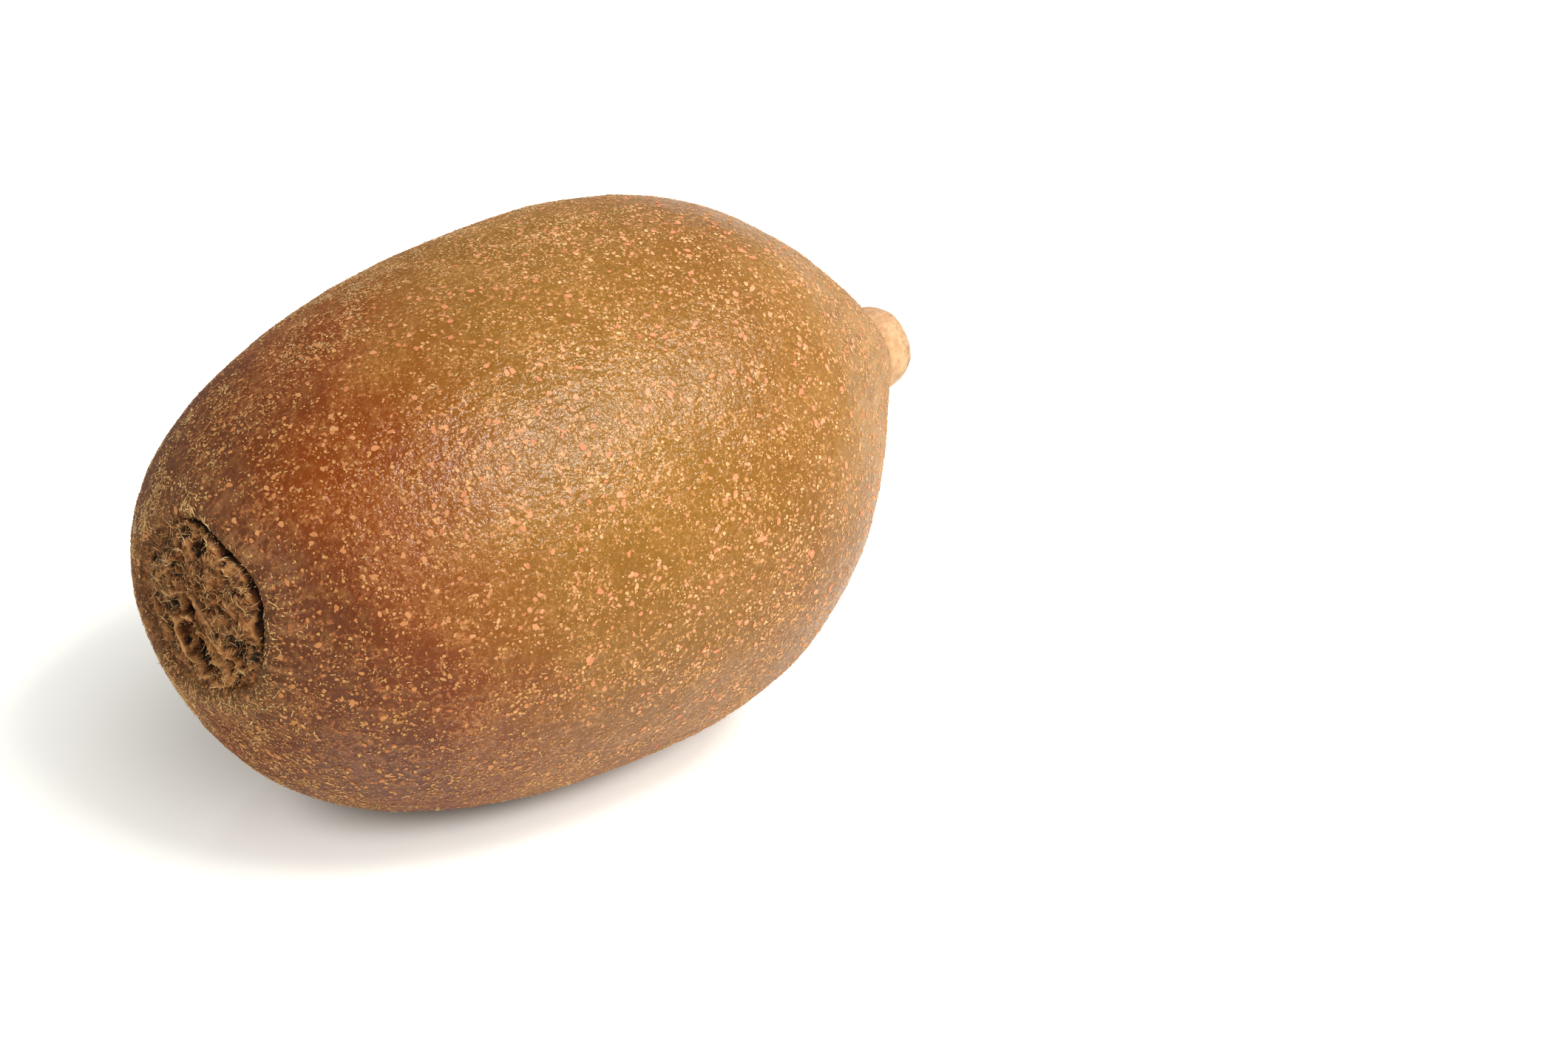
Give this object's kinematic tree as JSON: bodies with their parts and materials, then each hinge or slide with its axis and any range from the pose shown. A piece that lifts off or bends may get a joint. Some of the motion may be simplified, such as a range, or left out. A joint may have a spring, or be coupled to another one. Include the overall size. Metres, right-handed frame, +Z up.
{
  "type": "golden kiwi fruit",
  "caption": "Whole golden kiwi fruit lying on its side: smooth bronze skin with raised flecks, a sunken woody stem scar at one end and a blunt beak at the other.",
  "frame": {"origin": "middle of the fruit's box at the surface that it rests on, inside its flat spot", "axes": "+X along the fruit from the stem scar to the beak, +Y across it, +Z up"},
  "size_m": [0.0726, 0.0484, 0.0457],
  "materials": {
    "skin": "smooth translucent bronze fruit skin with fine raised tan flecks and short fuzz, softly shining",
    "scar": "torn dry fibrous wood, rough and dark in its pits"
  },
  "bodies": {
    "root": {"kiwi_fruit": "skin"}
  },
  "joints": []
}
